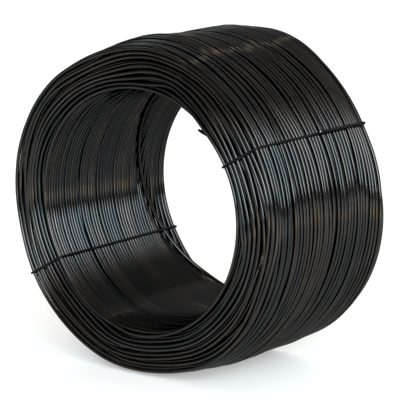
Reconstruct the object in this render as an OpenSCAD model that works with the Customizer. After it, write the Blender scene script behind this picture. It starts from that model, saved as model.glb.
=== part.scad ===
// Coil of steel wire rod, wound in layers and tied by hand.
//
// The rod is wound side by side around a bore, tight and even in the innermost layer and looser
// in the outermost one. Two tie wires, opposite each other, hold the turns: each is one length of
// wire that goes once around the wall of the coil, with its two ends twisted together outside.
//
// The coil lies on its round side. +Y runs along the bore, +Z is up, and the origin is at the
// centre of the bore. Lengths are in millimetres.

/* [Rod] */
// Diameter of the wound rod
rod_d = 5.5; // [4:0.5:14]

/* [Coil] */
// Clear diameter of the bore, between the crests of the innermost turns
bore_d = 348; // [150:1:900]
// Turns side by side in the tight innermost layer
bore_turns = 46; // [8:1:120]
// Turns in the loosely spaced outermost layer
outer_turns = 32; // [6:1:120]
// Layers wound one over the other
layers = 12; // [3:1:40]
// Gap between neighbouring turns of the innermost layer
turn_gap = 0.05; // [0:0.01:1]
// Gap between one layer and the next
layer_gap = 0.5; // [0:0.05:2]
// Depth of the valley between two turns, as a share of the rod
valley_share = 0.35; // [0.15:0.05:0.45]

/* [Ties] */
// Diameter of the tie wire
tie_d = 3.2; // [1.5:0.1:8]
// Angle of the right-hand tie above the horizontal
tie_angle = 29.5; // [0:0.5:90]
// Clearance between a tie and the turns that it crosses
tie_clearance = 0.3; // [0.1:0.05:1]
// Length over which the two ends of a tie are twisted together
twist_l = 104; // [30:1:160]
// Number of half twists in that length
half_twists = 13; // [5:2:25]
// Gap between the two twisted strands
strand_gap = 0.2; // [0.1:0.05:1]
// Length of the cut end that stands up where the twist begins
tip_l = 5; // [2:0.5:12]
// Angle at which that cut end stands up
tip_lift = 40; // [0:5:80]

/* [Hidden] */

steel_black = [0.12, 0.12, 0.125];
tie_black = [0.09, 0.09, 0.1];

// Winding: the radii are to the crests of the turns
rod_r = rod_d / 2;
bore_r = bore_d / 2;
layer_pitch = rod_d + layer_gap;
coil_r = bore_r + rod_d + (layers - 1) * layer_pitch;
coil_l = bore_turns * rod_d + (bore_turns - 1) * turn_gap;
valley = rod_d * valley_share;
turn_sides = 12;

// Centres of the turns at the four corners of the wall
corner_in = bore_r + rod_r;
corner_out = coil_r - rod_r;
corner_end = coil_l / 2 - rod_r;

// Tie: it bends around the corner turns, and its ends are twisted about a common axis
tie_r = tie_d / 2;
tie_bend_r = rod_r + tie_clearance + tie_r;
strand_r = (tie_d + strand_gap) / 2;
twist_axis = corner_out + tie_bend_r + strand_r;
twist_end = corner_end - tie_d;
twist_start = twist_end - twist_l;
twist_ease_share = 0.1;
tie_sides = 10;
bend_steps = 6;
steps_per_half_twist = 6;

// The wound rod

// Centres of `count` turns spread over the length of the coil
function turn_places(count) =
    [for (k = [0 : count - 1]) corner_end * (2 * k / (count - 1) - 1)];

// One turn of rod, cut across
module turn(radius, place) {
    translate([radius, place])
        circle(d = rod_d, $fn = turn_sides);
}

// The wall of the coil, cut across: the turns in the bore, outside and on both ends
module wall_section() {
    translate([bore_r + valley, valley - coil_l / 2])
        square([coil_r - bore_r - 2 * valley, coil_l - 2 * valley]);
    for (place = turn_places(bore_turns))
        turn(corner_in, place);
    for (place = turn_places(outer_turns))
        turn(corner_out, place);
    for (layer = [1 : layers - 2], place = [-corner_end, corner_end])
        turn(corner_in + layer * layer_pitch, place);
}

module wire_coil() {
    color(steel_black)
        rotate([90, 0, 0])
            rotate_extrude($fn = 180)
                wall_section();
}

// The tie wires are drawn with X away from the bore, Y along it and Z across the tie

function unit(v) = v / norm(v);

// Share of the twist reached after a share s of its length: it eases in and out
function twist_share(s) =
    let (e = twist_ease_share, full = 2 * e * (1 - e))
    s < e ? s * s / full :
    s > 1 - e ? 1 - (1 - s) * (1 - s) / full :
    (s - e / 2) / (1 - e);

// Axis of one twisted strand, from the start of the twist to its end by the far face
function strand(phase) =
    let (steps = half_twists * steps_per_half_twist)
    [for (k = [0 : steps])
        let (a = phase + 180 * half_twists * twist_share(k / steps))
        [twist_axis - strand_r * cos(a), twist_start + twist_l * k / steps, strand_r * sin(a)]];

// Quarter bend around the corner turn at [x, y]
function bend(x, y, from) =
    [for (k = [0 : bend_steps])
        let (a = from + 90 * k / bend_steps)
        [x + tie_bend_r * cos(a), y + tie_bend_r * sin(a), 0]];

// Cut end that stands up off the start of the twist
tip = [twist_axis + strand_r + tip_l * sin(tip_lift), twist_start - tip_l * cos(tip_lift), 0];

// Axis of the whole tie, from one cut end to the other
tie_path = concat(
    [tip],
    strand(180),
    bend(corner_out, corner_end, 0),
    bend(corner_in, corner_end, 90),
    bend(corner_in, -corner_end, 180),
    bend(corner_out, -corner_end, 270),
    strand(0)
);

// Direction of a path at its point k
function heading(path, k) =
    let (last = len(path) - 1)
    k == 0 ? unit(path[1] - path[0]) :
    k == last ? unit(path[last] - path[last - 1]) :
    unit(unit(path[k] - path[k - 1]) + unit(path[k + 1] - path[k]));

// Outline of the wire around point k of a path
function ring(path, k) =
    let (
        along = heading(path, k),
        across = unit([0, 0, 1] - along * along[2]),
        out = cross(along, across)
    )
    [for (j = [0 : tie_sides - 1])
        let (a = 360 * j / tie_sides)
        path[k] + tie_r * (out * cos(a) + across * sin(a))];

// Round wire swept along a path
module wire(path) {
    rings = [for (k = [0 : len(path) - 1]) each ring(path, k)];
    n = tie_sides;
    sides = [for (k = [0 : len(path) - 2], j = [0 : n - 1])
        [k * n + j, (k + 1) * n + j, (k + 1) * n + (j + 1) % n, k * n + (j + 1) % n]];
    first = [for (j = [0 : n - 1]) j];
    last = [for (j = [n - 1 : -1 : 0]) (len(path) - 1) * n + j];
    polyhedron(points = rings, faces = concat(sides, [first, last]), convexity = 6);
}

module tie_wire(angle) {
    color(tie_black)
        rotate([0, -angle, 0])
            wire(tie_path);
}

module tie_wire_right() {
    tie_wire(tie_angle);
}

module tie_wire_left() {
    tie_wire(tie_angle + 180);
}

wire_coil();
tie_wire_right();
tie_wire_left();
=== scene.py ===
"""Looks of the coil of wire rod.

The rod is wound here turn by turn, as on a winding drum: each new stretch is led along by a
traverse and sinks into the grooves between the turns that already lie there. The two ties are then
drawn tight around the wall that comes out of it, and their ends are twisted together outside.
"""
import math

import bpy
import numpy as np
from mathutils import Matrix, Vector
from mathutils.geometry import convex_hull_2d


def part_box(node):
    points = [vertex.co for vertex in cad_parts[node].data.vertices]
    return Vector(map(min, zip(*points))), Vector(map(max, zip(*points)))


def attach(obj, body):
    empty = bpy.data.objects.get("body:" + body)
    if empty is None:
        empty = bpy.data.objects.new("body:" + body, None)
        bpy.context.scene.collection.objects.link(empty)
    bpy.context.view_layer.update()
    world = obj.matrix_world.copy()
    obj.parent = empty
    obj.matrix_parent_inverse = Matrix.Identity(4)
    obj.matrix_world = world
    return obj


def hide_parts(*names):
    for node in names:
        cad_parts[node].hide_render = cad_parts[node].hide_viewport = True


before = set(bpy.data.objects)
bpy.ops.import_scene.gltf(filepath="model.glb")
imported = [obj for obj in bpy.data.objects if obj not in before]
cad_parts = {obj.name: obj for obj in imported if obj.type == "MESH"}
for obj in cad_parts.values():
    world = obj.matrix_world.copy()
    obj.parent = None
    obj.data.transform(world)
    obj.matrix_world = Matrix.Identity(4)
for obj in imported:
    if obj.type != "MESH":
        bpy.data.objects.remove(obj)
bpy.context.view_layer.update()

# Sizes in metres. The coil's own box gives its length and its radius outside.
coil_low, coil_high = (Vector(corner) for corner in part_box("wire_coil"))
LENGTH = coil_high.y - coil_low.y
COIL_R = (coil_high.x - coil_low.x) / 2
ROD_D = 0.0055
ROD_R = ROD_D / 2
BORE_R = 0.174
WALL_MIDDLE = (BORE_R + COIL_R) / 2
END = LENGTH / 2 - ROD_R
FLOOR_Z = coil_low.z

# Winding: every turn has the same number of stations. The rod is laid a block of stations at a
# time, with a look ahead, and is smoothed together with the last stations that already lie.
LAYERS = 12
STATIONS = 144
BLOCK = 36
LOOKAHEAD = 24
CONTEXT = 16
SEED = 6

# Heights at which the next turn would rest are kept on a grid along the coil. The rod feels their
# slope a little way to each side.
GRID = 0.00025
GRID_MARGIN = 2 * ROD_D
FEEL = 2 * GRID

# Ways to lay a stretch: how far it sinks down a slope in each round, share of the way that it is
# pulled back to its target, stiffness in stations and number of rounds
GUIDED = (0, 0.5, 2, 6)
SINKING = (0.0005, 0.06, 3, 24)

# The rod bridges dips: it rests on the highest stations near it, and is pressed in only so far.
BRIDGE_REACH = 2
BRIDGE_SMOOTH = 4
PRESSED_IN = 0.12 * ROD_D

# A layer ends where the turns below are piled up this far.
PILED_UP = 0.45 * ROD_D

# Spacing of the turns: tight in the bore, packed near both ends, and looser in the outer layers.
# The shares are of the rod's diameter.
TIGHT_PITCH = 1.01 * ROD_D
LAYER_PITCH_SHARE = 1.03
LOOSE_PITCH_SHARE = 0.48
LOOSE_POWER = 1.5
LOOSE_FROM_LAYER = 3
PACKED_REACH = 6 * ROD_D
PACKED_FLAT = PACKED_REACH / 4

# Course of a layer: odd layers are set in at both ends, and the rod dwells at the end for part of a
# turn. Looser turns wander and differ in stride, and each follows the turn before and the plan.
ODD_INSET = 0.5 * ROD_D
DWELL = 0.25
PLAN_STEPS = 500
WANDER = 0.002
WANDER_SMOOTH = 12
LEAST_WANDER = 0.1
STRIDE_SPREAD = 0.3
FOLLOW_SHARE = 0.7
PLAN_SHARE = 0.3
OUTER_END_ANGLE = 217

# Start of the rod: it slants through the bore from a hooked end, between two angles in degrees.
# The shares are of the coil's length, and the last is of the slant itself.
LEAD_FROM_ANGLE = 45
LEAD_TO_ANGLE = 246
LEAD_START_SHARE = 0.06
LEAD_STRAIGHT_SHARE = 0.373
LEAD_HOOK_SHARE = 0.4

# Hooked end: size of its bend, length of its straight part, how much it leans inwards and towards
# the near end, and the points on both
HOOK_BEND = 0.010
HOOK_LENGTH = 0.038
HOOK_INWARDS = 0.42
HOOK_NEARWARDS = 0.2
HOOK_BEND_POINTS = 12
HOOK_STRAIGHT_POINTS = 5

# Gaps between the innermost turns: share of the coil's length, width in rods, angle where widest
BORE_GAPS = ((0.95, 0.4, 190), (0.57, 0.4, 200), (0.43, 0.45, 165), (0.31, 0.6, 195))

# Outer turns set back from the near end and the far end: angle, spread in degrees, depth in rods.
# The last two layers have a share of that depth.
NEAR_SETBACKS = ((110, 26, 1.6), (278, 30, 2.0))
FAR_SETBACKS = ((66, 30, 0.8),)
SETBACK_REACH = 8 * ROD_D
SETBACK_SHARES = {LAYERS - 1: 1.0, LAYERS - 2: 0.6}

# Out of round: the bore widens towards the near end, and the outside has dips and bulges.
# A wave is its number around the bore, height and widest angle. A bump in the bore is its angle,
# spread in degrees and height. A bump outside also has a share of the length from the near end,
# and its spread as a share of it.
NEAR_BORE_WAVES = ((0, 0.0049, 0), (1, 0.0072, 173), (2, 0.0034, 142))
NEAR_BORE_BUMPS = ((105, 40, -0.002), (245, 40, 0.0045), (322, 42, -0.0035), (352, 36, -0.002))
FAR_BORE_WAVES = ((0, -0.005, 0), (1, 0.0015, 15))
OUTER_BUMPS = (
    (110, 26, 0.0, 0.17, -0.003),
    (158, 45, 0.0, 0.17, 0.007),
    (214, 45, 0.0, 0.17, 0.0045),
    (278, 30, 0.0, 0.17, -0.0055),
    (105, 45, 0.31, 0.26, 0.0055),
    (290, 30, 0.45, 0.30, 0.004),
    (-18, 45, 1.0, 0.17, 0.008),
    (42, 34, 1.0, 0.17, -0.0045),
    (70, 16, 1.0, 0.17, 0.003),
    (92, 14, 1.0, 0.17, -0.003),
    (-66, 20, 1.0, 0.17, -0.004),
)
OUTER_INSET = 0.25 * ROD_D

# Settling: the wound rod is smoothed along itself. The outside of the coil is then measured in bins
# along it, and smoothed around and along it. No turn stands further out than a share of that depth,
# and the rod has a fine ripple. The last value keeps level directions from dividing by zero.
PLACE_SMOOTH = 3
RADIUS_SMOOTH = 2
CREST_BINS = 32
CREST_WRAP = 12
CREST_SMOOTH_AROUND = 8
CREST_SMOOTH_ALONG = 1
PROUDEST = 1.01
RIPPLE = 0.0024
RIPPLE_SMOOTH = STATIONS // 6
LEAST_DOWNWARD = 1e-6

# What is built of the rod: the innermost and outermost layers whole, and the others near both ends
WHOLE_INSIDE = 2
WHOLE_OUTSIDE = 3
END_REACH = 3.4 * ROD_D
SHORTEST_RUN = 4
RUN_OVERLAP = 2
OPEN_SIDES = 10
COVERED_SIDES = 8

# Ties: angle above the horizontal in degrees, and the twist of their ends
TIE_ANGLES = {"tie_wire_right": 29.5, "tie_wire_left": 209.5}
TIE_D = 0.0032
TIE_R = TIE_D / 2
TIE_STEP = 0.002
TIE_SIDES = 10
BEND_STEP = math.radians(12)
TWIST_LENGTH = 0.110
TWIST_END = END - TIE_D
TWIST_START = TWIST_END - TWIST_LENGTH
TWIST_STEP = 0.0012
TWIST_EASE_SHARE = 0.1
HALF_TWISTS = 13
STRAND_GAP = 0.0002
STRAND_R = (TIE_D + STRAND_GAP) / 2
TIP_LENGTH = 0.008
TIP_SHARES = (1.0, 0.66, 0.33)
TIP_LIFT = math.radians(40)

# Share of the radius left where a wire is cut off
TAPER = 0.6

# Oxide colours of the rod, from bluish through grey to brown, and of the darker ties. The last
# colour of the ties is the bare steel of their cut ends.
ROD_COLOURS = (
    (0.025, 0.029, 0.031),
    (0.032, 0.033, 0.033),
    (0.042, 0.038, 0.035),
    (0.050, 0.047, 0.048),
)
TIE_COLOURS = ((0.015, 0.016, 0.018), (0.023, 0.023, 0.024), (0.12, 0.12, 0.12))
EDGE_TINT = (0.5, 0.5, 0.5)

# Tones: patches of oxide times the tone of a turn choose the colour between two ends of the ramp.
RAMP_SPAN = (0.1, 0.6)
TONE_SPAN = (0.2, 1.0)
TONE_SMOOTH = STATIONS // 3
TIE_TONE = 0.35
CUT_TONE = 4
PATCH_SCALE = 26
PATCH_DETAIL = 5

# Fine lines from drawing: scale around and along the wire, the span of the noise that is used, the
# roughness that it gives each wire, and its relief
LINE_SCALE = (14, 9, 1)
LINE_DETAIL = 4
LINE_SPAN = (0.3, 0.7)
ROD_ROUGHNESS = (0.08, 0.14)
TIE_ROUGHNESS = (0.3, 0.42)
LINE_STRENGTH = 0.12
LINE_HEIGHT = 0.0002

# Painted shade in the grooves: an outer turn's colour is darkened, as shade between turns, where
# the cosine of the angle from its outward crest is near a value, and the painted shade fades
# between two distances from there. It fades out near both ends of the coil, where no turn lies
# beside the last one. The shares are of the colour that is left.
PAINTED_SHADE_AT = 0.15
PAINTED_SHADE_FROM = 0.2
PAINTED_SHADE_TO = 0.5
PAINTED_SHADE_END = LENGTH / 2 - 1.5 * ROD_D
PAINTED_SHADE_FADE = 2 * ROD_D
ROD_PAINTED_SHADE_SHARE = 0.25
TIE_PAINTED_SHADE_SHARE = 1

# Photograph: viewing angle of the camera, its distance and where the coil's centre falls
VIEW_AZIMUTH = math.radians(39.5)
VIEW_ELEVATION = math.radians(11.7)
VIEW_DISTANCE = 22.5 * COIL_R
VIEW_REACH = 200
PHOTO_SIZE = 400
FOCAL_PIXELS = 3750
CENTRE_PIXEL = (198.2, 198.1)
SENSOR_WIDTH = 36

# Softboxes: azimuth from +X towards the near end and elevation in degrees, distance, width,
# height, brightness and colour
COOL = (0.76, 0.93, 1.0)
WARM = (1.0, 0.8, 0.5)
BROWN = (1.0, 0.62, 0.3)
PALE = (1.0, 0.94, 0.86)
NEUTRAL = (1.0, 1.0, 1.0)
SOFTBOXES = {
    "key_core": (45, 18.4, 6.0, 6.1, 3.18, 11.6, COOL),
    "key_rim": (45, 36.2, 6.0, 6.1, 0.62, 6.0, PALE),
    "low_card": (42, -8, 1.2, 1.6, 0.11, 2.6, BROWN),
    "top_strip": (180, 79, 2.2, 1.8, 0.07, 7.4, WARM),
    "top_soft": (0, 68, 4.0, 3.0, 3.0, 0.7, PALE),
    "top_back": (203, 42, 5.0, 1.8, 0.6, 7.0, COOL),
    "back_left": (228, 38, 5.0, 4.0, 2.0, 2.2, NEUTRAL),
    "back_right": (304, 19, 5.0, 2.2, 2.7, 2.3, NEUTRAL),
    "back_far": (262, 27, 5.0, 3.0, 2.0, 1.9, NEUTRAL),
}

# Surroundings: a pale floor with a glow of its own, and an even sky
FLOOR_SIZE = 60
FLOOR_COLOUR = (0.7, 0.7, 0.7)
FLOOR_ROUGHNESS = 0.8
FLOOR_GLOW = 0.34
FLOOR_GLOW_COLOUR = (1, 0.955, 0.925)
WORLD_COLOUR = (1.0, 0.97, 0.93)
WORLD_STRENGTH = 0.35


# Small helpers on arrays of numbers along the rod

def padded(values, width):
    """The values with the first and the last one repeated at the ends."""
    return np.concatenate([np.repeat(values[:1], width), values, np.repeat(values[-1:], width)])


def smooth(values, width):
    """Mean over a bell-shaped window that reaches `width` places each way."""
    window = np.hanning(2 * width + 3)[1:-1]
    return np.convolve(padded(values, width), window / window.sum(), "valid")


def highest_near(values, width):
    """Highest value within `width` places each way."""
    view = np.lib.stride_tricks.sliding_window_view(padded(values, width), 2 * width + 1)
    return view.max(axis=1)


def station_of(degrees):
    """Number of stations up to an angle."""
    return round(degrees / 360 * STATIONS)


def hump(offset, spread):
    """1 in the middle, falling to 0 at `spread` to each side."""
    return 0.5 + 0.5 * np.cos(np.pi * np.minimum(1, np.abs(offset) / spread))


def bell(degrees, centre, spread):
    """A hump around an angle."""
    return hump((degrees - centre + 180) % 360 - 180, spread)


def path_length(points):
    """Length along a path up to each of its points."""
    return np.concatenate([[0], np.cumsum(np.linalg.norm(np.diff(points, axis=0), axis=1))])


# Winding

class Winding:
    """The rod's axis, station by station, and the height at which the next turn would rest."""

    def __init__(self, first_station):
        self.first_station = first_station
        self.grid = np.arange(-END - GRID_MARGIN, END + GRID_MARGIN, GRID)
        self.rest = np.full((STATIONS, len(self.grid)), BORE_R + ROD_R)
        self.place = np.zeros(0)
        self.radius = np.zeros(0)

    def stations(self, start, count):
        """Where around the coil a stretch of the rod lies, as station numbers."""
        return (self.first_station + start + np.arange(count)) % STATIONS

    def degrees(self, start, count):
        return self.stations(start, count) * 360 / STATIONS

    def rest_at(self, place, station):
        """Rest height between two points of the grid."""
        f = (place - self.grid[0]) / GRID
        i = f.astype(int)
        t = f - i
        return self.rest[station, i] * (1 - t) + self.rest[station, i + 1] * t

    def commit(self, place, radius):
        """Leave a stretch of rod where it is, and raise the rest height around it."""
        station = self.stations(len(self.place), len(place))
        reach = int(ROD_D / GRID)
        column = np.round((place - self.grid[0]) / GRID).astype(int)
        columns = column[:, None] + np.arange(-reach, reach + 1)
        offset = self.grid[columns] - place[:, None]
        height = radius[:, None] + np.sqrt(np.maximum(0, ROD_D ** 2 - offset ** 2))
        height[np.abs(offset) >= ROD_D] = 0
        rows = station[:, None]
        self.rest[rows, columns] = np.maximum(self.rest[rows, columns], height)
        self.place = np.concatenate([self.place, place])
        self.radius = np.concatenate([self.radius, radius])

    def lay(self, target, count, sink, pull, stiffness, rounds):
        """Lay `count` stations of rod near `target`, which may look further ahead than that."""
        start = len(self.place)
        station = self.stations(start, len(target))
        before = self.place[-CONTEXT:] if start else np.repeat(target[:1], CONTEXT)
        place = target.copy()
        for _ in range(rounds):
            rise = self.rest_at(place + FEEL, station) - self.rest_at(place - FEEL, station)
            slope = np.clip(rise / (2 * FEEL), -1, 1)
            place = place - sink * slope + pull * (target - place)
            place = smooth(np.concatenate([before, place]), stiffness)[CONTEXT:]
            place = np.clip(place, -END, END)
        radius = self.bridged(self.rest_at(place, station))
        self.commit(place[:count], radius[:count])

    def bridged(self, height):
        """Radius of the next stretch, which spans the dips between its rest heights."""
        under = self.radius[-CONTEXT:] if len(self.radius) else np.repeat(height[:1], CONTEXT)
        highest = highest_near(np.concatenate([under, height]), BRIDGE_REACH)
        return np.maximum(smooth(highest, BRIDGE_SMOOTH)[CONTEXT:], height - PRESSED_IN)

    def limits(self):
        """Ends of the stretch that isn't yet piled up above the rest of the layer."""
        level = self.rest.mean(axis=0)
        inside = np.abs(self.grid) <= END
        low_enough = inside & (level < np.median(level[inside]) + PILED_UP)
        return self.grid[low_enough].min(), self.grid[low_enough].max()


def wind_lead_in(winding):
    """The start of the rod slants along the drum, steeply at first, to the far end."""
    stations = station_of(LEAD_TO_ANGLE - LEAD_FROM_ANGLE)
    share = np.arange(stations) / (stations - 1)
    straight = LEAD_STRAIGHT_SHARE + (1 - LEAD_STRAIGHT_SHARE) * share
    steep = np.maximum(0, 1 - share / LEAD_HOOK_SHARE) ** 2
    along = straight - (LEAD_STRAIGHT_SHARE - LEAD_START_SHARE) * steep
    winding.lay(END * (2 * along - 1), stations, *GUIDED)


def bore_gap_shift(turns, degrees):
    """How far the innermost turns have moved on because of the gaps left before them."""
    shift = np.zeros_like(turns)
    for share, width, widest in BORE_GAPS:
        closed = ((widest + 180 - degrees[0]) / 360) % 1
        opens = round((1 - share) * 2 * END / TIGHT_PITCH - closed) + closed
        shift += (turns > opens) * width * ROD_D * bell(degrees, widest, 180)
    return shift


def wind_bore_layer(winding):
    """The innermost layer: tight turns from the far end to the near end, with a few gaps."""
    turns = 2 * END / TIGHT_PITCH - sum(width for _, width, _ in BORE_GAPS) / 2
    stations = round(turns * STATIONS)
    degrees = winding.degrees(len(winding.place), stations)
    turn = np.arange(stations) / STATIONS
    target = END - TIGHT_PITCH * turn - bore_gap_shift(turn, degrees)
    winding.lay(np.maximum(target, -END), stations, *GUIDED)


def set_back(place, degrees, depth_share):
    """Where a turn lies once the outer turns near both ends are pushed inwards."""
    near = depth_share * ROD_D * sum(d * bell(degrees, a, s) for a, s, d in NEAR_SETBACKS)
    far = depth_share * ROD_D * sum(d * bell(degrees, a, s) for a, s, d in FAR_SETBACKS)
    from_near = np.clip(1 - (place + END) / SETBACK_REACH, 0, 1)
    from_far = np.clip(1 - (END - place) / SETBACK_REACH, 0, 1)
    return place + near * from_near - far * from_far


def slackness(place, layer):
    """0 in the tight inner layers and by both ends, up to 1 in the outermost layer."""
    loose = max(0, (layer - LOOSE_FROM_LAYER) / (LAYERS - 1 - LOOSE_FROM_LAYER))
    return loose * (1 - hump(np.maximum(0, END - np.abs(place) - PACKED_FLAT), PACKED_REACH))


def pitch_at(place, layer):
    """Distance from one turn to the next."""
    loose = LOOSE_PITCH_SHARE * slackness(place, layer) ** LOOSE_POWER
    return ROD_D * (LAYER_PITCH_SHARE + loose)


def layer_plan(winding, layer, direction):
    """Where a layer's turns would lie if none moved, and the number of stations to lay."""
    low, high = winding.limits()
    inset = ODD_INSET if layer % 2 else 0
    places = np.linspace(low + inset, high - inset, PLAN_STEPS)[::direction]
    turns = np.cumsum(np.abs(np.gradient(places)) / pitch_at(places, layer))
    count = round((turns[-1] + DWELL) * STATIONS / BLOCK) * BLOCK
    if layer == LAYERS - 1:
        last = winding.first_station + len(winding.place) + count
        count -= (last - station_of(OUTER_END_ANGLE)) % STATIONS
    ideal = np.interp(np.arange(count + LOOKAHEAD) / STATIONS, turns, places)
    return ideal, count


def wander_and_stride(ideal, layer, direction, rng):
    """How far the rod strays at each station, and how far each turn lies from the one before."""
    total = len(ideal)
    slack = slackness(ideal, layer)
    wander = smooth(rng.standard_normal(total) * WANDER, WANDER_SMOOTH) * (LEAST_WANDER + slack)
    stride = smooth(np.repeat(rng.standard_normal(total // BLOCK + 1), BLOCK)[:total], BLOCK)
    stride = direction * pitch_at(ideal, layer) * (1 + STRIDE_SPREAD * slack * stride)
    return wander, stride


def after_turn_before(winding, stride, degrees, depth_share):
    """One stride on from the turn before, with what is set back on the way."""
    back = len(winding.place) - STATIONS
    turn_before = winding.place[back:back + len(stride)]
    moved = set_back(turn_before + stride, degrees, depth_share)
    unmoved = set_back(turn_before, degrees, depth_share)
    return turn_before + moved - unmoved


def wind_layer(winding, layer, direction, rng):
    """One layer from end to end: each turn follows the one before, and looser ones wander."""
    depth_share = SETBACK_SHARES.get(layer, 0)
    ideal, count = layer_plan(winding, layer, direction)
    degrees = winding.degrees(len(winding.place), len(ideal))
    wander, stride = wander_and_stride(ideal, layer, direction, rng)
    for block in range(0, count, BLOCK):
        laid = min(BLOCK, count - block)
        ahead = slice(block, block + laid + LOOKAHEAD)
        target = set_back(ideal[ahead], degrees[ahead], depth_share)
        if block >= STATIONS:
            following = after_turn_before(winding, stride[ahead], degrees[ahead], depth_share)
            target = FOLLOW_SHARE * following + PLAN_SHARE * target
        target = np.clip(target + wander[ahead], -END, END)
        winding.lay(target, laid, *SINKING)


def waves(degrees, parts):
    """Sum of waves around the bore."""
    return sum(h * np.cos(n * np.radians(degrees - widest)) for n, h, widest in parts)


def wall_limits(degrees, place):
    """Radius of the bore and of the outside, as the coil has settled."""
    share = 0.5 + place / (2 * END)
    near = waves(degrees, NEAR_BORE_WAVES)
    near = near + sum(h * bell(degrees, a, spread) for a, spread, h in NEAR_BORE_BUMPS)
    inner = BORE_R + (1 - share) * near + share * waves(degrees, FAR_BORE_WAVES)
    bumps = sum(h * bell(degrees, a, spread) * hump(share - at, reach)
                for a, spread, at, reach, h in OUTER_BUMPS)
    return inner, COIL_R - OUTER_INSET + bumps


def wound_outside(winding, station):
    """Smoothed radius of the outside of the wound coil, above each station of the rod."""
    column = (winding.place + END) / (2 * END) * (CREST_BINS - 1)
    crest = np.zeros((STATIONS, CREST_BINS))
    np.maximum.at(crest, (station, np.round(column).astype(int)), winding.radius + ROD_R)
    around = np.concatenate([crest[-CREST_WRAP:], crest, crest[:CREST_WRAP]])
    bins = [smooth(around[:, k], CREST_SMOOTH_AROUND) for k in range(CREST_BINS)]
    around = np.stack(bins, axis=1)[CREST_WRAP:-CREST_WRAP]
    crest = np.stack([smooth(row, CREST_SMOOTH_ALONG) for row in around])
    left = np.minimum(column.astype(int), CREST_BINS - 2)
    part = column - left
    return crest[station, left] * (1 - part) + crest[station, left + 1] * part


def settle(winding, rng):
    """Press the wound rod into the shape of the coil, between its bore and its outside.

    The layers midway between them give way, so that the turns by the bore and by the outside stay
    as tight as they were wound. The floor holds up the turns at the bottom.
    """
    station = winding.stations(0, len(winding.place))
    degrees = station * 360 / STATIONS
    inner, outer = wall_limits(degrees, winding.place)
    depth = wound_outside(winding, station) - BORE_R - ROD_D
    height = np.minimum(PROUDEST * depth, winding.radius - BORE_R - ROD_R)
    give = 1 - hump(height, depth)
    ripple = smooth(rng.standard_normal(len(depth)) * RIPPLE, RIPPLE_SMOOTH)
    radius = inner + ROD_R + height + give * (outer - inner - ROD_D - depth) + ripple
    downward = np.maximum(LEAST_DOWNWARD, -np.sin(np.radians(degrees)))
    winding.radius = np.minimum(radius, (-FLOOR_Z - ROD_R) / downward)


def wind_coil():
    """Wind the whole rod; returns its axis and the station at which each layer starts."""
    rng = np.random.default_rng(SEED)
    winding = Winding(station_of(LEAD_FROM_ANGLE))
    wind_lead_in(winding)
    wind_bore_layer(winding)
    starts = [0, len(winding.place)]
    direction = 1
    for layer in range(1, LAYERS):
        wind_layer(winding, layer, direction, rng)
        starts.append(len(winding.place))
        direction = -direction
    winding.place = smooth(winding.place, PLACE_SMOOTH)
    winding.radius = smooth(winding.radius, RADIUS_SMOOTH)
    settle(winding, rng)
    return winding, starts


# Meshes

def tube_rings(points, side, radius, sides):
    """Round outlines along a path, which tapers where it is cut off at both ends.

    `side` is any direction that is nowhere along the path.
    """
    radii = np.full((len(points), 1, 1), radius)
    radii[[0, -1]] *= TAPER
    around = 2 * math.pi * np.arange(sides) / sides
    along = np.gradient(points, axis=0)
    along /= np.linalg.norm(along, axis=1)[:, None]
    out = side - along * (side * along).sum(axis=1)[:, None]
    out /= np.linalg.norm(out, axis=1)[:, None]
    across = np.cross(along, out)
    ring = (out[:, None, :] * np.cos(around)[None, :, None]
            + across[:, None, :] * np.sin(around)[None, :, None])
    return points[:, None, :] + radii * ring


def tube_corners(count, sides, offset):
    """Point numbers at the corners of a tube's faces: its quads, then its two caps."""
    i = np.arange(count - 1)[:, None] * sides + offset
    j = np.arange(sides)[None, :]
    k = (j + 1) % sides
    quads = np.stack([i + j, i + k, i + sides + k, i + sides + j], axis=-1)
    first_cap = offset + np.arange(sides)[::-1]
    last_cap = offset + (count - 1) * sides + np.arange(sides)
    return np.concatenate([quads.ravel(), first_cap, last_cap])


def tube_uvs(path, sides):
    """Share of the way around and length along a tube, at the corners of its faces."""
    length = path_length(path)
    u = np.broadcast_to(np.arange(sides)[None, :] / sides, (len(path) - 1, sides))
    v0 = np.broadcast_to(length[:-1, None], u.shape)
    v1 = np.broadcast_to(length[1:, None], u.shape)
    corners = [(u, v0), (u + 1 / sides, v0), (u + 1 / sides, v1), (u, v1)]
    quads = np.stack([np.stack(c, -1) for c in corners], axis=2).reshape(-1, 2)
    return np.concatenate([quads, np.zeros((sides, 2)), np.full((sides, 2), length[-1])])


def tube_mesh(name, tubes, radius, sides):
    """One mesh of closed round tubes. A tube is its points, its side directions and its tones."""
    points, corners, sizes, uvs, tones = [], [], [], [], []
    offset = 0
    for path, side, tone in tubes:
        count = len(path)
        points.append(tube_rings(path, side, radius, sides).reshape(-1, 3))
        corners.append(tube_corners(count, sides, offset))
        sizes += [np.full((count - 1) * sides, 4), [sides, sides]]
        uvs.append(tube_uvs(path, sides))
        tones.append(np.repeat(tone, sides))
        offset += count * sides
    mesh = faces_mesh(name, np.concatenate(points), np.concatenate(corners), np.concatenate(sizes))
    mesh.uv_layers.new(name="rod").data.foreach_set("uv", np.concatenate(uvs).ravel())
    tone_layer = mesh.attributes.new("tone", "FLOAT", "POINT")
    tone_layer.data.foreach_set("value", np.concatenate(tones).astype(np.float32))
    mesh.update()
    mesh.validate()
    return mesh


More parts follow.
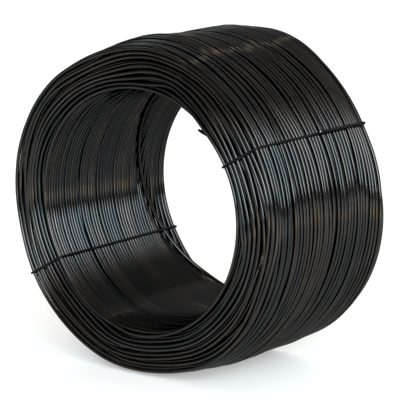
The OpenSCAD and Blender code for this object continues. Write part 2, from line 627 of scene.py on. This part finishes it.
def faces_mesh(name, points, corners, sizes):
    """A mesh of faces, given the corners of all in a row and the size of each. Quads are smooth."""
    corners = corners.astype(np.int32)
    sizes = sizes.astype(np.int32)
    mesh = bpy.data.meshes.new(name)
    mesh.vertices.add(len(points))
    mesh.vertices.foreach_set("co", points.ravel())
    mesh.loops.add(len(corners))
    mesh.loops.foreach_set("vertex_index", corners)
    mesh.polygons.add(len(sizes))
    mesh.polygons.foreach_set("loop_start", np.cumsum(sizes) - sizes)
    mesh.polygons.foreach_set("loop_total", sizes)
    mesh.polygons.foreach_set("use_smooth", sizes == 4)
    return mesh


def add_piece(mesh, material, slot, *nodes):
    """A piece of the part that stands for some of its CAD nodes."""
    piece = bpy.data.objects.new(mesh.name, mesh)
    bpy.context.scene.collection.objects.link(piece)
    mesh.materials.append(material)
    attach(piece, "root")
    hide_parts(*nodes)


# Materials

def noise(tree, scale, detail, vector):
    node = tree.nodes.new("ShaderNodeTexNoise")
    node.inputs["Scale"].default_value = scale
    node.inputs["Detail"].default_value = detail
    tree.links.new(vector, node.inputs["Vector"])
    return node.outputs["Fac"]


def map_range(tree, value, from_low, from_high, to_low, to_high):
    node = tree.nodes.new("ShaderNodeMapRange")
    node.inputs["From Min"].default_value = from_low
    node.inputs["From Max"].default_value = from_high
    node.inputs["To Min"].default_value = to_low
    node.inputs["To Max"].default_value = to_high
    tree.links.new(value, node.inputs["Value"])
    return node.outputs["Result"]


def math_node(tree, operation, a, b=None):
    node = tree.nodes.new("ShaderNodeMath")
    node.operation = operation
    tree.links.new(a, node.inputs[0])
    if b is not None:
        tree.links.new(b, node.inputs[1])
    return node.outputs[0]


def component(tree, vector, axis):
    node = tree.nodes.new("ShaderNodeSeparateXYZ")
    tree.links.new(vector, node.inputs["Vector"])
    return node.outputs[axis]


def scaled(tree, vector, factor):
    node = tree.nodes.new("ShaderNodeVectorMath")
    node.operation = "SCALE"
    tree.links.new(vector, node.inputs[0])
    tree.links.new(factor, node.inputs["Scale"])
    return node.outputs["Vector"]


def drawn_lines(tree, uv):
    """Noise drawn out along the wire."""
    stretch = tree.nodes.new("ShaderNodeMapping")
    stretch.inputs["Scale"].default_value = LINE_SCALE
    tree.links.new(uv, stretch.inputs["Vector"])
    return noise(tree, 1, LINE_DETAIL, stretch.outputs["Vector"])


def oxide_colour(tree, place, colours):
    """Colour of the oxide, by its patches and by the tone of the turn."""
    tone = tree.nodes.new("ShaderNodeAttribute")
    tone.attribute_name = "tone"
    patches = noise(tree, PATCH_SCALE, PATCH_DETAIL, place)
    ramp = tree.nodes.new("ShaderNodeValToRGB")
    positions = np.linspace(*RAMP_SPAN, len(colours))
    while len(ramp.color_ramp.elements) < len(colours):
        ramp.color_ramp.elements.new(0.5)
    for element, position, colour in zip(ramp.color_ramp.elements, positions, colours):
        element.position = position
        element.color = (*colour, 1)
    tree.links.new(math_node(tree, "MULTIPLY", patches, tone.outputs["Fac"]), ramp.inputs["Fac"])
    return ramp.outputs["Color"]


def painted_groove_shade(tree, uv, place, deepest_painted_shade):
    """Share of its colour that a turn keeps under painted shade: less in the grooves beside it, all
    by the ends.
    """
    around = map_range(tree, component(tree, uv, "X"), 0, 1, 0, 2 * math.pi)
    outward = math_node(tree, "COSINE", around)
    off_groove = map_range(tree, outward, -1, 1, -1 - PAINTED_SHADE_AT, 1 - PAINTED_SHADE_AT)
    off_groove = math_node(tree, "ABSOLUTE", off_groove)
    groove = map_range(tree, off_groove, PAINTED_SHADE_FROM, PAINTED_SHADE_TO, deepest_painted_shade, 1)
    off_middle = math_node(tree, "ABSOLUTE", component(tree, place, "Y"))
    by_end = map_range(tree, off_middle, PAINTED_SHADE_END - PAINTED_SHADE_FADE, PAINTED_SHADE_END, 0, 1)
    return math_node(tree, "MAXIMUM", groove, by_end)


def steel_material(name, colours, roughness, painted_shade_share):
    """Black annealed steel: near-black oxide with browner stretches, painted shade in the grooves
    between turns and fine drawing lines.
    """
    material = bpy.data.materials.new(name)
    material.use_nodes = True
    tree = material.node_tree
    shader = tree.nodes["Principled BSDF"]
    shader.inputs["Metallic"].default_value = 1
    shader.inputs["Specular Tint"].default_value = (*EDGE_TINT, 1)

    uv_map = tree.nodes.new("ShaderNodeUVMap")
    uv_map.uv_map = "rod"
    uv = uv_map.outputs["UV"]
    place = tree.nodes.new("ShaderNodeTexCoord").outputs["Object"]
    # Painted shade: the base colour is darkened in the grooves between the outer turns.
    painted_shade_kept = painted_groove_shade(tree, uv, place, painted_shade_share)
    colour = scaled(tree, oxide_colour(tree, place, colours), painted_shade_kept)
    tree.links.new(colour, shader.inputs["Base Color"])

    lines = drawn_lines(tree, uv)
    tree.links.new(map_range(tree, lines, *LINE_SPAN, *roughness), shader.inputs["Roughness"])
    bump = tree.nodes.new("ShaderNodeBump")
    bump.inputs["Strength"].default_value = LINE_STRENGTH
    bump.inputs["Distance"].default_value = LINE_HEIGHT
    tree.links.new(lines, bump.inputs["Height"])
    tree.links.new(bump.outputs["Normal"], shader.inputs["Normal"])
    return material


def floor_material():
    """Pale floor, lifted to white where it is seen straight or in a reflection."""
    material = bpy.data.materials.new("pale_floor")
    material.use_nodes = True
    tree = material.node_tree
    shader = tree.nodes["Principled BSDF"]
    shader.inputs["Base Color"].default_value = (*FLOOR_COLOUR, 1)
    shader.inputs["Roughness"].default_value = FLOOR_ROUGHNESS
    shader.inputs["Emission Color"].default_value = (*FLOOR_GLOW_COLOUR, 1)
    path = tree.nodes.new("ShaderNodeLightPath")
    seen = math_node(tree, "MAXIMUM", path.outputs["Is Camera Ray"], path.outputs["Is Glossy Ray"])
    seen = math_node(tree, "MAXIMUM", seen, path.outputs["Is Transmission Ray"])
    tree.links.new(map_range(tree, seen, 0, 1, 0, FLOOR_GLOW), shader.inputs["Emission Strength"])
    return material


# The wound rod

def radial(degrees):
    """Direction out of the coil at an angle above the horizontal."""
    angle = np.radians(degrees)
    return np.stack([np.cos(angle), np.zeros_like(angle), np.sin(angle)], axis=-1)


def rod_path(winding, begin, end):
    """Points of the rod's axis from one station to another, and the way out of the coil there."""
    out = radial(winding.degrees(begin, end - begin))
    points = out * winding.radius[begin:end, None]
    points[:, 1] = winding.place[begin:end]
    return points, out


def hook_path(points, out):
    """The bent start of the rod, from its cut end to the first point of its slant."""
    start = points[0]
    ahead = points[1] - points[0]
    ahead /= np.linalg.norm(ahead)
    round_way = np.array([-out[0][2], 0, out[0][0]])
    back = round_way - HOOK_INWARDS * out[0] + np.array([0, -HOOK_NEARWARDS, 0])
    back /= np.linalg.norm(back)
    corner = start - HOOK_BEND * ahead
    t = np.linspace(0, 1, HOOK_BEND_POINTS)[:, None]
    near_bend = corner + HOOK_BEND * back
    bend = near_bend * (1 - t) ** 2 + corner * 2 * t * (1 - t) + start * t ** 2
    tip = corner + HOOK_LENGTH * back
    straight = tip + (near_bend - tip) * np.linspace(0, 1, HOOK_STRAIGHT_POINTS)[:-1, None]
    return np.concatenate([straight, bend[:-1]])


def with_hook(points, out, tone):
    """The start of the rod with its hooked end before it."""
    hook = hook_path(points, out)
    points = np.concatenate([hook, points])
    out = np.concatenate([np.repeat(out[:1], len(hook), axis=0), out])
    tone = padded(tone, len(hook))[:-len(hook)]
    return points, out, tone


def spans(mask, offset):
    """Runs of true values in a mask, as station numbers."""
    edges = np.flatnonzero(np.diff(np.concatenate([[0], mask.astype(int), [0]])))
    runs = zip(edges[::2], edges[1::2])
    return [(offset + a, offset + b) for a, b in runs if b - a >= SHORTEST_RUN]


def shown_runs(place, begin, whole):
    """Stretches of a layer that are built: all of it, or what lies near both ends."""
    if whole:
        return spans(np.full(len(place), True), begin)
    return spans(place < -END + END_REACH, begin) + spans(place > END - END_REACH, begin)


def layer_tubes(winding, tones, runs):
    """The tubes of a layer, each a little longer than its run."""
    tubes = []
    for a, b in runs:
        first = max(0, a - RUN_OVERLAP)
        last = min(len(winding.place), b + RUN_OVERLAP)
        tube = (*rod_path(winding, first, last), tones[first:last])
        tubes.append(with_hook(*tube) if a == 0 else tube)
    return tubes


def turn_tones(total):
    """A tone at every station, which changes slowly from turn to turn."""
    rng = np.random.default_rng(SEED + 1)
    tones = np.repeat(rng.uniform(*TONE_SPAN, total // STATIONS + 2), STATIONS)[:total]
    return smooth(tones, TONE_SMOOTH)


def add_coil(winding, starts, material):
    """The turns that show: the bore, the outer layers and the ends of the layers between."""
    tones = turn_tones(len(winding.place))
    for layer in range(LAYERS):
        begin, end = starts[layer], starts[layer + 1]
        whole = layer < WHOLE_INSIDE or layer >= LAYERS - WHOLE_OUTSIDE
        tubes = layer_tubes(winding, tones, shown_runs(winding.place[begin:end], begin, whole))
        sides = OPEN_SIDES if layer in (0, LAYERS - 1) else COVERED_SIDES
        name = "rod_layer_%02d" % layer if whole else "rod_layer_%02d_ends" % layer
        add_piece(tube_mesh(name, tubes, ROD_R, sides), material, "rod_steel", "wire_coil")


# The ties

def wall_hull(winding, degrees):
    """Turns at the rim of the wall where it is cut at an angle: radius and place, in order."""
    station = station_of(degrees)
    stations = winding.stations(0, len(winding.place))
    near = [np.flatnonzero(stations == s % STATIONS) for s in (station - 1, station, station + 1)]
    near = np.concatenate(near)
    centres = np.stack([winding.radius[near], winding.place[near]], axis=1)
    hull = centres[convex_hull_2d([tuple(c) for c in centres])]
    after = np.roll(hull, -1, axis=0)
    area = np.sum(hull[:, 0] * after[:, 1] - after[:, 0] * hull[:, 1])
    return hull[::-1] if area < 0 else hull


def bend_points(corner, before, after):
    """Axis of a tie around one turn, between the outward directions before and after it."""
    turn = math.atan2(before[0] * after[1] - before[1] * after[0], before @ after)
    first = math.atan2(before[1], before[0])
    angles = first + np.linspace(0, turn, max(2, round(turn / BEND_STEP)))
    return [corner + (ROD_R + TIE_R) * np.array([math.cos(a), math.sin(a)]) for a in angles]


def taut_loop(winding, degrees):
    """Axis of a wire drawn tight around the wall at an angle, as radius and place, in order."""
    hull = wall_hull(winding, degrees)
    edge = np.roll(hull, -1, axis=0) - hull
    normal = np.stack([edge[:, 1], -edge[:, 0]], axis=1) / np.linalg.norm(edge, axis=1)[:, None]
    loop = []
    for corner, before, after in zip(hull, np.roll(normal, 1, axis=0), normal):
        loop += bend_points(corner, before, after)
    loop = np.array(loop + loop[:1])
    length = path_length(loop)
    places = np.arange(0, length[-1], TIE_STEP)
    return np.stack([np.interp(places, length, loop[:, k]) for k in (0, 1)], axis=1)


def without_twist(loop):
    """The loop from the end of the twist around the wall to its start."""
    outside = loop[:, 0] > WALL_MIDDLE
    twisted = outside & (loop[:, 1] > TWIST_START) & (loop[:, 1] < TWIST_END)
    last = np.flatnonzero(twisted & ~np.roll(twisted, -1))[0]
    return np.roll(loop, -last - 1, axis=0)[:len(loop) - twisted.sum()]


def twist_axis(loop, place):
    """Radius of the axis of the twist, which lies on the outer side of the loop."""
    outer = loop[loop[:, 0] > WALL_MIDDLE]
    outer = outer[np.argsort(outer[:, 1])]
    return np.interp(place, outer[:, 1], outer[:, 0]) + STRAND_R


def eased(share):
    """Share of the twist reached after a share of its length: it eases in and out."""
    e = TWIST_EASE_SHARE
    full = 2 * e * (1 - e)
    middle = (share - e / 2) / (1 - e)
    return np.where(share < e, share ** 2 / full,
                    np.where(share > 1 - e, 1 - (1 - share) ** 2 / full, middle))


def strands(loop):
    """Axes of the two strands that are twisted together, from the start of the twist."""
    share = np.linspace(0, 1, round((TWIST_END - TWIST_START) / TWIST_STEP))
    place = TWIST_START + (TWIST_END - TWIST_START) * share
    axis = twist_axis(loop, place)
    turned = [phase + math.pi * HALF_TWISTS * eased(share) for phase in (math.pi, 0)]
    return [np.stack([axis - STRAND_R * np.cos(a), place, STRAND_R * np.sin(a)], axis=1)
            for a in turned]


def tie_path(winding, degrees):
    """Axis of a tie as radius, place and distance across, from one cut end to the other."""
    loop = without_twist(taut_loop(winding, degrees))
    lifted, other = strands(loop)
    lift = TIP_LENGTH * np.array([[math.sin(TIP_LIFT), -math.cos(TIP_LIFT), 0]])
    tip = lifted[0] + np.array(TIP_SHARES)[:, None] * lift
    ring = np.column_stack([loop, np.zeros(len(loop))])
    return np.concatenate([tip, lifted, ring, other])


def add_tie(winding, node, degrees, material):
    """A tie at an angle, with bare steel at its two cut ends."""
    path = tie_path(winding, degrees)
    out = radial(degrees)
    across = np.array([-out[2], 0, out[0]])
    along = np.array([0, 1, 0])
    points = path[:, :1] * out + path[:, 1:2] * along + path[:, 2:] * across
    side = np.repeat(across[None, :], len(points), axis=0)
    tone = np.full(len(points), TIE_TONE)
    tone[[0, -1]] = CUT_TONE
    mesh = tube_mesh(node + "_drawn", [(points, side, tone)], TIE_R, TIE_SIDES)
    add_piece(mesh, material, "tie_steel", node)


# Set, light and camera

def add_floor(material):
    bpy.ops.mesh.primitive_plane_add(size=FLOOR_SIZE, location=(0, 0, FLOOR_Z))
    floor = bpy.context.object
    floor.name = "floor"
    floor.data.materials.append(material)


def add_softbox(name, azimuth, elevation, distance, width, height, brightness, colour):
    """A rectangular light that faces the coil, with its brightness as seen from there."""
    light = bpy.data.lights.new(name, "AREA")
    light.shape = "RECTANGLE"
    light.size = width
    light.size_y = height
    light.energy = brightness * math.pi * width * height
    light.color = colour
    lamp = bpy.data.objects.new(name, light)
    bpy.context.scene.collection.objects.link(lamp)
    a, e = math.radians(azimuth), math.radians(elevation)
    toward = Vector((math.cos(e) * math.cos(a), -math.cos(e) * math.sin(a), math.sin(e)))
    lamp.visible_camera = False
    lamp.location = toward * distance
    lamp.rotation_euler = toward.to_track_quat("Z", "Y").to_euler()


def set_world():
    world = bpy.data.worlds.new("studio")
    bpy.context.scene.world = world
    world.use_nodes = True
    sky = world.node_tree.nodes["Background"]
    sky.inputs["Color"].default_value = (*WORLD_COLOUR, 1)
    sky.inputs["Strength"].default_value = WORLD_STRENGTH


def add_camera():
    """The camera of the photograph, with the coil's centre where the photo has it."""
    data = bpy.data.cameras.new("camera")
    data.sensor_width = SENSOR_WIDTH
    data.lens = FOCAL_PIXELS / PHOTO_SIZE * SENSOR_WIDTH
    data.shift_x = (PHOTO_SIZE / 2 - CENTRE_PIXEL[0]) / PHOTO_SIZE
    data.shift_y = (CENTRE_PIXEL[1] - PHOTO_SIZE / 2) / PHOTO_SIZE
    data.clip_end = VIEW_REACH
    camera = bpy.data.objects.new("camera", data)
    bpy.context.scene.collection.objects.link(camera)
    back = Vector((math.sin(VIEW_AZIMUTH) * math.cos(VIEW_ELEVATION),
                   -math.cos(VIEW_AZIMUTH) * math.cos(VIEW_ELEVATION),
                   math.sin(VIEW_ELEVATION)))
    camera.location = back * VIEW_DISTANCE
    camera.rotation_euler = back.to_track_quat("Z", "Y").to_euler()
    bpy.context.scene.camera = camera


add_camera()
winding, starts = wind_coil()
rod_steel = steel_material("rod_steel_black", ROD_COLOURS, ROD_ROUGHNESS, ROD_PAINTED_SHADE_SHARE)
tie_steel = steel_material("tie_steel_black", TIE_COLOURS, TIE_ROUGHNESS, TIE_PAINTED_SHADE_SHARE)
add_coil(winding, starts, rod_steel)
for node, degrees in TIE_ANGLES.items():
    add_tie(winding, node, degrees, tie_steel)
add_floor(floor_material())
for name, softbox in SOFTBOXES.items():
    add_softbox(name, *softbox)
set_world()
bpy.context.scene.view_settings.view_transform = "Standard"
